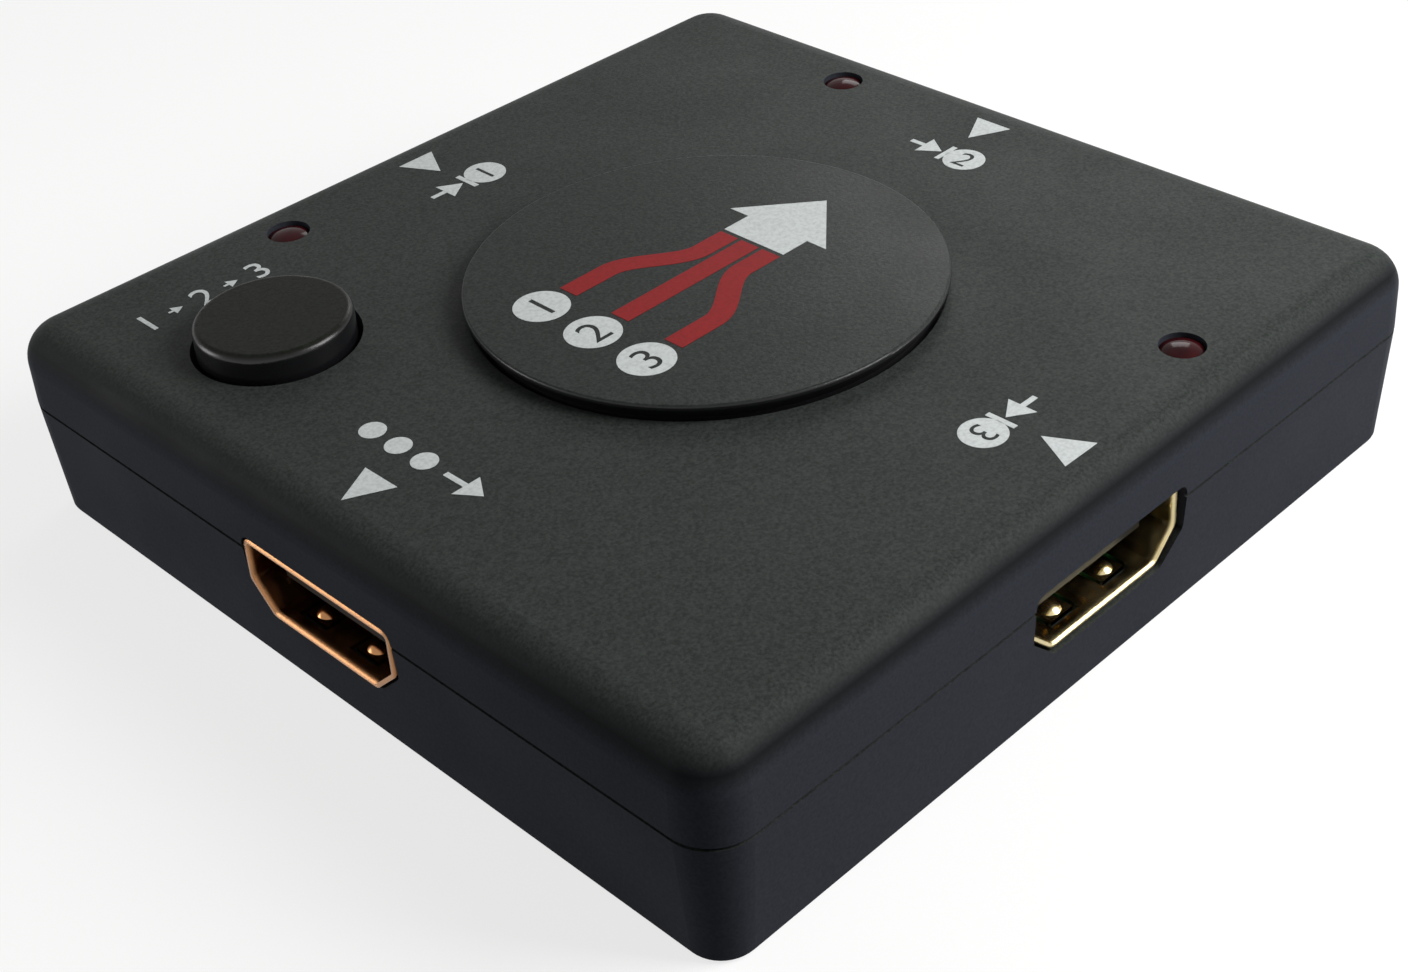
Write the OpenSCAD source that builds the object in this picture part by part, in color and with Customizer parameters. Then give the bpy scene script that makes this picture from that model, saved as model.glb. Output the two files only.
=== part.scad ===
// Three-to-one video switch box: a square two-part moulded case with one receptacle in each side,
// a round raised disc and a round select button on top, and a lamp beside each input.
// Origin: middle of the flat underside. +Z up, -X the output side, -Y the third input's side.

/* [Case] */
// Side of the square case at the parting line
case_side = 70; // [66:0.5:80]
// Height of the case from the underside to the flat top
case_height = 15.3; // [14.5:0.1:18]
// Height of the parting line above the underside
parting_height = 9.4; // [9:0.1:10]
// Plan radius of the case's corners
corner_radius = 3.2; // [3:0.1:6]
// Radius of the rolled edge round the top
top_edge_radius = 2.7; // [1.5:0.1:2.8]
// Radius of the rounded edge round the underside
bottom_edge_radius = 0.4; // [0.2:0.1:1]
// How far the lower shell's sides lean in from the parting line to the underside
lower_draft = 0.7; // [0:0.1:0.9]
// Thickness of the side walls
wall = 1.6; // [1.2:0.1:2]
// Thickness of the top wall
top_wall = 1.8; // [1.4:0.1:2.2]
// Thickness of the floor
floor_wall = 1.5; // [1:0.1:1.8]
// Depth and height of the shadow line where the shells meet
shadow_line = 0.25; // [0.1:0.05:0.4]
// Height of the lower shell's lip inside the upper shell
lip_height = 1; // [0.5:0.1:1.5]
// Thickness of that lip
lip_wall = 0.7; // [0.5:0.1:0.8]
// Clearance between the lip and the upper shell
lip_gap = 0.1; // [0.05:0.05:0.2]

/* [Case screws] */
// Distance of each screw from the two nearest sides
screw_inset = 7; // [6.5:0.5:9]
// Radius of a screw's shank
shank_radius = 1.1; // [0.8:0.05:1.3]
// Length of a screw's shank
shank_length = 8; // [6:0.5:8.5]
// Radius of a screw's head
head_radius = 2; // [1.6:0.1:2.2]
// Height of a screw's head
head_height = 1.4; // [1:0.1:1.6]
// How deep the head lies in its recess
head_depth = 2; // [1:0.1:2.4]
// Wall round the head's recess
post_wall = 0.6; // [0.5:0.1:0.8]
// Height at which the two shells' screw posts meet
post_joint = 7.6; // [7:0.1:8.2]
// Clearance round a head in its recess
head_gap = 0.4; // [0.2:0.1:0.5]
// Clearance round a shank in its clear hole
shank_gap = 0.2; // [0.1:0.05:0.3]
// Clearance round a shank in its own thread
thread_gap = 0.02; // [0.01:0.01:0.04]
// Length of the cross slots in a head
slot_length = 2.4; // [1.8:0.1:2.8]
// Width of the cross slots in a head
slot_width = 0.6; // [0.4:0.1:0.8]
// Depth of the cross slots in a head
slot_depth = 0.8; // [0.4:0.1:0.9]

/* [Centre disc] */
// Radius of the raised disc at its rim
disc_radius = 17; // [14:0.1:18]
// How far the disc stands above the top
disc_rise = 1.3; // [0.8:0.1:2]
// Thickness of the disc's rim
disc_rim = 0.35; // [0.3:0.05:0.6]
// How far the disc's side draws in from the rim to the foot
disc_undercut = 0.6; // [0.4:0.1:1]
// Depth of the disc's seat in the top
disc_seat = 0.8; // [0.4:0.1:1]
// Width of the groove round the disc's foot
disc_gap = 0.4; // [0.2:0.05:0.6]
// Radius of the disc's rounded upper edge
disc_edge = 0.2; // [0.1:0.05:0.25]
// Radius of the disc's two locating pegs
disc_peg_radius = 1; // [0.8:0.1:1.5]
// Distance of the pegs from the middle
disc_peg_place = 8; // [5:0.5:10]
// Clearance round a peg
peg_gap = 0.1; // [0.05:0.05:0.2]

/* [Select button] */
// Distance of the button's middle from the output side
button_out_inset = 11.3; // [11:0.1:13]
// Distance of the button's middle from the first input's side
button_in_inset = 17; // [16:0.1:19]
// Radius of the button's cap
button_radius = 5.5; // [4.5:0.1:6]
// How far the cap stands above the top
button_rise = 2; // [1:0.1:2.5]
// Radius of the cap's rounded upper edge
button_edge = 0.5; // [0.3:0.1:1]
// Clearance round the cap in the top
button_gap = 0.4; // [0.3:0.05:0.6]
// How far the button's flange reaches past its hole
flange_reach = 0.7; // [0.4:0.1:1]
// Thickness of the button's flange
flange_height = 1; // [0.8:0.1:1.4]
// Play between the flange and the top wall
flange_play = 0.15; // [0.05:0.05:0.3]
// Radius of the stem that presses the switch
stem_radius = 2; // [1.5:0.1:2.5]
// Width of the key that stops the button turning
key_width = 1.6; // [1.2:0.1:2]
// Direction in which the key points
key_turn = -45; // [-50:1:-40]
// Clearance on each side of the key
key_gap = 0.3; // [0.2:0.05:0.4]

/* [Push switch] */
// Side of the switch's square base
switch_side = 6; // [5:0.1:6.5]
// Height of the base
switch_height = 3.1; // [2.9:0.1:3.4]
// Thickness of the metal cover
cover_wall = 0.3; // [0.2:0.05:0.4]
// Radius of the plunger
plunger_radius = 1.7; // [1.4:0.1:1.8]
// Top of the plunger above the board
plunger_top = 5; // [4.6:0.1:5.2]
// Radius of the plunger's flange
plunger_flange = 2.1; // [2:0.1:2.2]
// Radius of the nub under the plunger
nub_radius = 0.6; // [0.5:0.05:0.8]
// Thickness of the plunger's flange
plunger_flange_height = 0.7; // [0.5:0.1:0.8]
// Running clearance round the plunger
plunger_gap = 0.15; // [0.1:0.05:0.2]
// Travel of the button and plunger
press_travel = 0.3; // [0.2:0.05:0.4]
// Thickness of the floor under the snap dome
switch_floor = 0.9; // [0.7:0.1:1]
// Height of the snap dome
dome_height = 0.5; // [0.45:0.05:0.55]
// Radius of the snap dome's rim
dome_radius = 1.9; // [1.7:0.1:2]
// Thickness of the snap dome's metal
dome_wall = 0.1; // [0.08:0.01:0.15]

// Width of the switch's legs
switch_leg_width = 0.7; // [0.5:0.05:0.8]
// Distance between the two legs of a side
switch_leg_pitch = 4.5; // [4:0.1:5]
// How far a leg reaches from the base
switch_leg_reach = 1.3; // [1:0.1:1.5]

/* [Lamps] */
// Distance of each lamp from its side of the case
lamp_inset = 5.2; // [5:0.1:7]
// Distance of each lamp along its side from the middle
lamp_along = 14.2; // [13:0.1:16]
// Radius of a lamp's lens
lamp_radius = 1.5; // [1:0.1:1.6]
// Height of a lamp from flange to dome
lamp_height = 5.3; // [4:0.1:5.4]
// Radius of a lamp's flange
lamp_flange = 1.9; // [1.7:0.1:2]
// Height of a lamp's flange
lamp_flange_height = 1; // [0.6:0.1:1.2]
// Height of the lens's low dome
lamp_dome = 0.35; // [0.3:0.05:1.5]
// How deep the dome lies below the top
lamp_depth = 0; // [0:0.05:0.5]
// Clearance round a lamp in the top
lamp_gap = 0.1; // [0.05:0.05:0.2]
// Distance between a lamp's two leads
lead_pitch = 2.54; // [2:0.02:2.6]
// Thickness of a square lead
lead_side = 0.5; // [0.4:0.05:0.6]
// Length of leads and legs below the board
lead_tail = 0.6; // [0.3:0.1:0.7]
// Clearance round leads and legs in the board
lead_gap = 0.15; // [0.1:0.05:0.25]

/* [Circuit board] */
// Clearance of the board from the case's walls
board_margin = 1.2; // [0.6:0.1:2]
// Thickness of the board
board_height = 1.6; // [1.2:0.1:1.6]
// Height of the board's underside above the case's underside
board_base = 3.2; // [2.9:0.1:3.5]
// Distance of the board's pegs from the middle, along X and along Y
peg_place = 13; // [12.5:0.1:13.5]
// Radius of the board's pegs
board_peg_radius = 1; // [0.8:0.1:1.2]
// Radius of the pads that the board rests on
pad_radius = 2; // [1.7:0.1:2.4]
// Clearance of the board round the screw posts
board_gap = 0.4; // [0.3:0.1:0.6]

/* [Receptacles] */
// Width of a receptacle's shell at its wide upper side
shell_width = 15; // [14.5:0.1:15.5]
// Width of its narrow lower side
shell_base_width = 10.8; // [9.5:0.1:11.5]
// Height of the shell
shell_height = 5.3; // [5.2:0.05:5.5]
// Height of its upright sides
shell_side_height = 3.3; // [2.8:0.1:3.5]
// Depth of the shell
shell_depth = 10.8; // [10:0.1:11.5]
// Thickness of the shell's sheet metal
shell_wall = 0.3; // [0.2:0.05:0.4]
// Radius of the shell's bends
shell_bend = 0.6; // [0.45:0.05:0.8]
// Clearance of the case round each shell
port_gap = 0.2; // [0.1:0.05:0.5]
// How far the output's shell lies behind the case's side
out_setback = 0.05; // [0:0.05:1]
// How far each input's shell lies behind the case's side
in_setback = 0.6; // [0:0.05:1]
// Distance of each spring finger from the receptacle's middle
finger_place = 2.65; // [2.4:0.05:3]
// Width of a spring finger
finger_width = 2.2; // [1.8:0.1:2.6]
// Length of a spring finger
finger_length = 4.6; // [4:0.1:5]
// Distance of the fingers' tips behind the shell's rim
finger_front = 1; // [0.8:0.1:1.5]
// Width of the slot round a finger
finger_slot = 0.35; // [0.25:0.05:0.5]
// Radius of the ball that forms a finger's bump
bump_radius = 1; // [0.8:0.1:1.1]
// How far a bump stands inside the shell
bump_rise = 0.4; // [0.2:0.05:0.5]
// Width of the tongue
tongue_width = 11.4; // [11:0.1:12]
// Thickness of the tongue
tongue_height = 1.2; // [1:0.1:1.4]
// Middle of the tongue above the board
tongue_level = 2.75; // [2.6:0.05:2.9]
// Distance of the tongue's tip behind the shell's rim
tongue_front = 1.6; // [1:0.1:2.5]
// Depth of the moulded block at the back
block_depth = 3.6; // [3:0.1:4]
// Clearance of the block in the shell
block_gap = 0.05; // [0.02:0.01:0.1]
// Number of contacts on the tongue's upper side
upper_contacts = 10; // [6:1:10]
// Distance between neighbouring contacts of a row
contact_pitch = 1; // [0.9:0.05:1.05]
// Width of a contact
contact_width = 0.4; // [0.3:0.02:0.44]
// Thickness of a contact
contact_wall = 0.15; // [0.1:0.01:0.2]
// Distance of the contacts' tips behind the tongue's tip
contact_front = 0.7; // [0.4:0.1:1.5]
// Length of the contacts' feet on the board
contact_foot = 1; // [0.6:0.1:1.4]
// Width of the shell's legs through the board
leg_width = 1.2; // [0.8:0.1:1.5]
// Distance of the front legs behind the shell's rim
leg_front = 5.4; // [4.8:0.1:5.8]
// Distance between the front and rear legs
leg_spacing = 3.6; // [3:0.1:4]

/* [Electronics] */
// Side of the switching chip
chip_side = 10; // [7:0.1:12]
// Height of the switching chip
chip_height = 1.4; // [1:0.1:2]
// Gap under the switching chip
chip_lift = 0.1; // [0.05:0.05:0.2]
// Number of leads on each side of the switching chip
chip_leads_per_side = 16; // [8:4:16]
// Distance between the chip's leads
chip_lead_pitch = 0.5; // [0.45:0.05:0.6]
// Width of a chip lead
chip_lead_width = 0.25; // [0.2:0.01:0.3]
// Thickness of a chip lead
chip_lead_wall = 0.15; // [0.1:0.01:0.2]
// How far a chip lead reaches from the chip
chip_lead_reach = 1; // [0.8:0.1:1.3]
// Radius of the dimple that marks a chip's first lead
dimple_radius = 0.4; // [0.3:0.05:0.5]
// Depth of that dimple
dimple_depth = 0.1; // [0.05:0.01:0.15]
// Distance of the dimple from the chip's edges
dimple_inset = 0.8; // [0.7:0.1:1]
// Length of the control chip
control_length = 5; // [4:0.1:6]
// Width of the control chip
control_width = 4; // [3:0.1:4]
// Height of the control chip
control_height = 1.4; // [1:0.1:1.8]
// Number of leads on each side of the control chip
control_leads_per_side = 4; // [3:1:4]
// Distance between the control chip's leads
control_lead_pitch = 1.27; // [1:0.01:1.27]
// Distance of the control chip from the middle
control_place = 19; // [18:0.1:20]
// Length of a chip resistor or capacitor
passive_length = 1.6; // [1:0.1:2]
// Width of a chip resistor or capacitor
passive_width = 0.8; // [0.5:0.1:1]
// Length of their metal end terminals
terminal_length = 0.35; // [0.2:0.05:0.4]
// Height of a chip resistor
resistor_height = 0.45; // [0.3:0.05:0.6]
// Height of a chip capacitor
capacitor_height = 0.8; // [0.5:0.05:1]
// Distance of the rows of resistors from the middle
resistor_place = 19.5; // [18.5:0.1:20.5]
// Number of resistors in a row
resistors_per_row = 5; // [3:1:6]
// Distance between neighbouring resistors
resistor_pitch = 1.8; // [1.5:0.1:2]
// Distance of the capacitors from the middle, along X and along Y
capacitor_place = 8.6; // [8.3:0.1:9.5]

/* [Hidden] */
half_side = case_side / 2;
corner_place = half_side - corner_radius;
ceiling = case_height - top_wall;
inner_radius = corner_radius - wall;
least_edge = 0.4;
inner_edge = max(top_edge_radius - wall, least_edge);
lip_outer = inner_radius + lip_wall;
lip_top = parting_height + lip_height;
board_top = board_base + board_height;
board_half = half_side - wall - lower_draft - board_margin;
board_side = 2 * board_half;
screw_place = half_side - screw_inset;
head_seat = head_depth + head_height;
shank_top = head_seat + shank_length;
post_radius = head_radius + head_gap + post_wall;
pilot_radius = shank_radius + thread_gap;
disc_foot = disc_radius - disc_undercut;
disc_top = case_height + disc_rise;
button_x = button_out_inset - half_side;
button_y = half_side - button_in_inset;
button_hole = button_radius + button_gap;
flange_radius = button_hole + flange_reach;
flange_top = ceiling - flange_play;
switch_top = board_top + switch_height;
switch_bore = plunger_flange + plunger_gap;
dome_seat = board_top + switch_floor;
dome_ball = (dome_radius * dome_radius + dome_height * dome_height) / (2 * dome_height);
lamp_out = half_side - lamp_inset;
lamp_top = case_height - lamp_depth;
lamp_base = lamp_top - lamp_height;
lamp_ball = (lamp_radius * lamp_radius + lamp_dome * lamp_dome) / (2 * lamp_dome);
block_front = shell_depth - block_depth;
round_faces = 64;
bend_steps = 4;
past = 1;
lamp_spots = [[-lamp_along, lamp_out], [lamp_out, lamp_along], [lamp_along, -lamp_out]];
case_black = "#2b2c2e";
steel_grey = "#b9bcc0";
gold = "#c9a24e";
moulding_black = "#151515";

// Outlines: a convex outline moved inwards, and one with its corners rounded
function unit(v) = v / norm(v);
function inward(a, b) = unit([a.y - b.y, b.x - a.x]);
function inset_outline(points, depth) = [
    for (i = [0 : len(points) - 1])
        let (before = points[(i + len(points) - 1) % len(points)])
        let (after = points[(i + 1) % len(points)])
        let (n1 = inward(before, points[i]))
        let (n2 = inward(points[i], after))
        points[i] + depth * (n1 + n2) / (1 + n1 * n2)
];
function bend(before, point, after, radius) =
    let (u = unit(before - point))
    let (v = unit(after - point))
    let (half_angle = acos(u * v) / 2)
    let (centre = point + unit(u + v) * radius / sin(half_angle))
    let (start = point + u * radius / tan(half_angle) - centre)
    let (from = atan2(start.y, start.x))
    let (turn = 180 - 2 * half_angle)
    [for (i = [0 : bend_steps])
        centre + radius * [cos(from + turn * i / bend_steps), sin(from + turn * i / bend_steps)]];
function rounded_outline(points, radius) = [
    for (i = [0 : len(points) - 1])
        each bend(points[(i + len(points) - 1) % len(points)], points[i],
                  points[(i + 1) % len(points)], radius)
];

// A square body with round corners: one edge profile, drawn outwards from the corner's axis,
// revolved at the four corners and run along the four sides, round a plain core
module round_square(bottom, top) {
    for (x = [-corner_place, corner_place], y = [-corner_place, corner_place])
        translate([x, y, 0])
            rotate_extrude($fn = round_faces)
                children();
    for (turn = [0 : 90 : 270])
        rotate([0, 0, turn])
            translate([corner_place, corner_place, 0])
                rotate([90, 0, 0])
                    linear_extrude(2 * corner_place)
                        children();
    translate([-corner_place, -corner_place, bottom])
        cube([2 * corner_place, 2 * corner_place, top - bottom]);
}

// Edge profile with an upright side and a rolled upper edge
module rolled_edge(reach, bottom, top, radius) {
    translate([0, bottom])
        square([reach, top - radius - bottom]);
    translate([0, bottom])
        square([reach - radius, top - bottom]);
    intersection() {
        translate([reach - radius, top - radius])
            circle(radius, $fn = round_faces);
        translate([reach - radius, top - radius])
            square(radius);
    }
}

// Edge profile with an upright side and a sharp upper edge
module square_edge(reach, bottom, top) {
    translate([0, bottom])
        square([reach, top - bottom]);
}

// Edge profile of the lower shell: a leaning side, a round lower edge and the shadow line
module leaning_edge(reach) {
    lean = lower_draft / parting_height;
    foot = reach - lower_draft;
    difference() {
        polygon([[0, 0], [foot, 0], [reach, parting_height], [0, parting_height]]);
        difference() {
            translate([foot - bottom_edge_radius, -past])
                square([bottom_edge_radius + lean * bottom_edge_radius, past + bottom_edge_radius]);
            translate([foot - bottom_edge_radius, bottom_edge_radius])
                circle(bottom_edge_radius, $fn = round_faces);
        }
        translate([reach - shadow_line, parting_height - shadow_line])
            square([past, past]);
    }
}

// Outline of a receptacle's shell, seen from outside, standing on the board
function receptacle_outline() = [
    [-shell_base_width / 2, 0],
    [shell_base_width / 2, 0],
    [shell_width / 2, shell_height - shell_side_height],
    [shell_width / 2, shell_height],
    [-shell_width / 2, shell_height],
    [-shell_width / 2, shell_height - shell_side_height]
];

// Runs the receptacle's outline, moved in by a depth, from one distance behind its rim to another
module receptacle_run(depth, from, to) {
    translate([0, to, 0])
        rotate([90, 0, 0])
            linear_extrude(to - from)
                polygon(rounded_outline(inset_outline(receptacle_outline(), depth), shell_bend - depth));
}

// Puts a receptacle in the middle of a side: no quarter turns face -Y, and its own Y runs inwards
module in_side(quarter_turns, setback) {
    rotate([0, 0, 90 * quarter_turns])
        translate([0, setback - half_side, board_top])
            children();
}

module at_output() {
    in_side(3, out_setback)
        children();
}

module at_input(number) {
    in_side(3 - number, in_setback)
        children();
}

module at_screws() {
    for (x = [-screw_place, screw_place], y = [-screw_place, screw_place])
        translate([x, y, 0])
            children();
}

module at_board_pegs() {
    for (x = [-peg_place, peg_place], y = [-peg_place, peg_place])
        translate([x, y, 0])
            children();
}

module at_disc_pegs() {
    for (x = [-disc_peg_place, disc_peg_place])
        translate([x, 0, 0])
            children();
}

// Clear way through the case round each receptacle
module port_openings() {
    at_output()
        receptacle_run(-port_gap, -past, wall + lip_wall + past);
    for (number = [1 : 3])
        at_input(number)
            receptacle_run(-port_gap, -past, wall + lip_wall + past);
}

module upper_shell() {
    color(case_black)
    difference() {
        union() {
            difference() {
                round_square(parting_height, case_height)
                    rolled_edge(corner_radius, parting_height, case_height, top_edge_radius);
                round_square(parting_height - past, ceiling)
                    rolled_edge(inner_radius, parting_height - past, ceiling, inner_edge);
                round_square(parting_height - past, lip_top + lip_gap)
                    square_edge(lip_outer + lip_gap, parting_height - past, lip_top + lip_gap);
            }
            at_screws()
                translate([0, 0, post_joint])
                    cylinder(r = post_radius, h = ceiling - post_joint, $fn = round_faces);
            at_board_pegs()
                translate([0, 0, board_top])
                    cylinder(r = pad_radius, h = ceiling - board_top, $fn = round_faces);
            key_ribs();
        }
        at_screws()
            translate([0, 0, post_joint - past])
                cylinder(r = pilot_radius, h = shank_top - post_joint + 2 * past, $fn = round_faces);
        at_board_pegs()
            translate([0, 0, board_top - past])
                cylinder(r = board_peg_radius + peg_gap, h = board_height + past, $fn = round_faces);
        translate([0, 0, case_height - disc_seat])
            cylinder(r = disc_foot + disc_gap, h = disc_seat + past, $fn = round_faces);
        at_disc_pegs()
            translate([0, 0, ceiling - past])
                cylinder(r = disc_peg_radius + peg_gap, h = top_wall + 2 * past, $fn = round_faces);
        translate([button_x, button_y, ceiling - past])
            cylinder(r = button_hole, h = top_wall + 2 * past, $fn = round_faces);
        for (spot = lamp_spots)
            translate([spot.x, spot.y, ceiling - past])
                cylinder(r = lamp_radius + lamp_gap, h = top_wall + 2 * past, $fn = round_faces);
        port_openings();
    }
}

// Two ribs under the top that guide the button's key
module key_ribs() {
    rib_height = flange_height + flange_play + press_travel;
    for (side = [-1, 1])
        translate([button_x, button_y, ceiling - rib_height])
            rotate([0, 0, key_turn])
                translate([flange_radius + key_gap, side * (key_width + key_gap) - key_width / 2, 0])
                    cube([key_width, key_width, rib_height]);
}

module lower_shell() {
    color(case_black)
    difference() {
        union() {
            difference() {
                round_square(0, parting_height)
                    leaning_edge(corner_radius);
                round_square(floor_wall, parting_height + past)
                    square_edge(inner_radius - lower_draft, floor_wall, parting_height + past);
            }
            difference() {
                round_square(parting_height - past, lip_top)
                    square_edge(lip_outer, parting_height - past, lip_top);
                round_square(parting_height - 2 * past, lip_top + past)
                    square_edge(inner_radius, parting_height - 2 * past, lip_top + past);
            }
            at_screws()
                cylinder(r = post_radius, h = post_joint, $fn = round_faces);
            at_board_pegs() {
                cylinder(r = pad_radius, h = board_base, $fn = round_faces);
                cylinder(r = board_peg_radius, h = board_top, $fn = round_faces);
            }
        }
        at_screws() {
            translate([0, 0, -past])
                cylinder(r = head_radius + head_gap, h = head_seat + past, $fn = round_faces);
            translate([0, 0, -past])
                cylinder(r = shank_radius + shank_gap, h = post_joint + 2 * past, $fn = round_faces);
        }
        port_openings();
    }
}

module case_screws() {
    color(steel_grey)
    at_screws() {
        difference() {
            translate([0, 0, head_depth])
                cylinder(r = head_radius, h = head_height, $fn = round_faces);
            for (turn = [0, 90])
                rotate([0, 0, turn])
                    translate([-slot_length / 2, -slot_width / 2, head_depth - past])
                        cube([slot_length, slot_width, slot_depth + past]);
        }
        translate([0, 0, head_seat])
            cylinder(r = shank_radius, h = shank_length, $fn = round_faces);
    }
}

// Round cap with a rounded upper edge, drawn as half a section
module cap_section(radius, bottom, top, edge) {
    translate([0, bottom])
        square([radius, top - edge - bottom]);
    translate([0, bottom])
        square([radius - edge, top - bottom]);
    intersection() {
        translate([radius - edge, top - edge])
            circle(edge, $fn = round_faces);
        translate([radius - edge, top - edge])
            square(edge);
    }
}

// Half section of the disc's body: a foot in the seat, and a side that opens up to the rim
module disc_body_section() {
    polygon([
        [0, case_height - disc_seat], [disc_foot, case_height - disc_seat], [disc_foot, case_height],
        [disc_radius, disc_top - disc_rim], [disc_radius, disc_top - disc_edge], [0, disc_top - disc_edge],
    ]);
}

module centre_disc() {
    color("#26282a") {
        rotate_extrude($fn = round_faces) {
            disc_body_section();
            cap_section(disc_radius, disc_top - disc_rim, disc_top, disc_edge);
        }
        at_disc_pegs()
            translate([0, 0, ceiling])
                cylinder(r = disc_peg_radius, h = top_wall, $fn = round_faces);
    }
}

module select_button() {
    color("#2e3032")
    translate([button_x, button_y, 0]) {
        rotate_extrude($fn = round_faces) {
            cap_section(button_radius, flange_top - flange_height, case_height + button_rise, button_edge);
            translate([0, flange_top - flange_height])
                square([flange_radius, flange_height]);
            translate([0, board_top + plunger_top])
                square([stem_radius, flange_top - flange_height - board_top - plunger_top]);
        }
        rotate([0, 0, key_turn])
            translate([flange_radius - past, -key_width / 2, flange_top - flange_height])
                cube([past + key_gap + key_width, key_width, flange_height]);
    }
}

module switch_base() {
    color(moulding_black)
    translate([button_x, button_y, 0])
        difference() {
            translate([-switch_side / 2, -switch_side / 2, board_top])
                cube([switch_side, switch_side, switch_height]);
            translate([0, 0, dome_seat])
                cylinder(r = switch_bore, h = switch_height, $fn = round_faces);
        }
}

// Four bent legs, two on each side of the base
module switch_legs() {
    color(steel_grey)
    translate([button_x, button_y, board_top])
        for (side = [0, 180], y = [-switch_leg_pitch / 2, switch_leg_pitch / 2])
            rotate([0, 0, side])
                translate([switch_side / 2, y, 0])
                    bent_lead(switch_leg_reach, switch_floor, switch_leg_width);
}

module switch_cover() {
    color(steel_grey)
    translate([button_x, button_y, 0])
        difference() {
            translate([-switch_side / 2, -switch_side / 2, switch_top])
                cube([switch_side, switch_side, cover_wall]);
            translate([0, 0, switch_top - past])
                cylinder(r = plunger_radius + plunger_gap, h = cover_wall + 2 * past, $fn = round_faces);
        }
}

module switch_plunger() {
    flange_level = switch_top - plunger_gap - plunger_flange_height;
    color("#3a3a3a")
    translate([button_x, button_y, 0])
        rotate_extrude($fn = round_faces) {
            translate([0, flange_level])
                square([plunger_radius, board_top + plunger_top - flange_level]);
            translate([0, flange_level])
                square([plunger_flange, plunger_flange_height]);
            translate([0, dome_seat + dome_height])
                square([nub_radius, flange_level - dome_seat - dome_height]);
        }
}

module snap_dome() {
    color(steel_grey)
    translate([button_x, button_y, dome_seat + dome_height - dome_ball])
        rotate_extrude($fn = round_faces)
            intersection() {
                difference() {
                    circle(dome_ball, $fn = round_faces);
                    circle(dome_ball - dome_wall, $fn = round_faces);
                }
                translate([0, dome_ball - dome_height])
                    square([dome_radius + past, dome_height]);
            }
}

module circuit_board() {
    notch = board_half - screw_place + post_radius + board_gap;
    color("#1f5a37")
    translate([0, 0, board_base])
        difference() {
            translate([-board_half, -board_half, 0])
                cube([board_side, board_side, board_height]);
            for (x = [-board_half, board_half], y = [-board_half, board_half])
                translate([x - notch, y - notch, -past])
                    cube([2 * notch, 2 * notch, board_height + 2 * past]);
            at_board_pegs()
                translate([0, 0, -past])
                    cylinder(r = board_peg_radius + peg_gap, h = board_height + 2 * past, $fn = round_faces);
            translate([0, 0, -board_base])
                lead_run(lead_side + 2 * lead_gap, board_base - past, board_top + past);
            translate([0, 0, -board_base]) {
                at_output()
                    shell_legs(lead_gap, past);
                for (number = [1 : 3])
                    at_input(number)
                        shell_legs(lead_gap, past);
            }
        }
}

// The six square leads of the lamps, or the holes that they pass
module lead_run(side, bottom, top) {
    for (i = [0 : 2], along = [-lead_pitch / 2, lead_pitch / 2]) {
        across = i == 1;
        translate([lamp_spots[i].x + (across ? 0 : along) - side / 2,
                   lamp_spots[i].y + (across ? along : 0) - side / 2, bottom])
            cube([side, side, top - bottom]);
    }
}

module lamp_leads() {
    color(steel_grey)
        lead_run(lead_side, board_base - lead_tail, lamp_base);
}

module lamp(spot) {
    color("#5a1418")
    translate([spot.x, spot.y, 0])
        rotate_extrude($fn = round_faces) {
            translate([0, lamp_base])
                square([lamp_flange, lamp_flange_height]);
            translate([0, lamp_base])
                square([lamp_radius, lamp_height - lamp_dome]);
            intersection() {
                translate([0, lamp_top - lamp_ball])
                    circle(lamp_ball, $fn = round_faces);
                translate([0, lamp_top - lamp_dome])
                    square([lamp_radius, lamp_dome]);
            }
        }
}

// The shell's four legs, or with a margin the slots that they pass
module shell_legs(margin, reach) {
    for (side = [-1, 1], y = [leg_front, leg_front + leg_spacing])
        translate([side * (shell_width - shell_wall) / 2 - shell_wall / 2 - margin,
                   y - leg_width / 2 - margin, -board_height - lead_tail - reach])
            cube([shell_wall + 2 * margin, leg_width + 2 * margin, board_height + lead_tail + 2 * reach]);
}

// The slot round one spring finger: two long cuts and one across the tip
module finger_slots() {
    for (side = [-1, 1])
        translate([side * (finger_width + finger_slot) / 2 - finger_slot / 2, finger_front, 0])
            cube([finger_slot, finger_length, shell_wall + 2 * past]);
    translate([-finger_width / 2 - finger_slot, finger_front, 0])
        cube([finger_width + 2 * finger_slot, finger_slot, shell_wall + 2 * past]);
}

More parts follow.
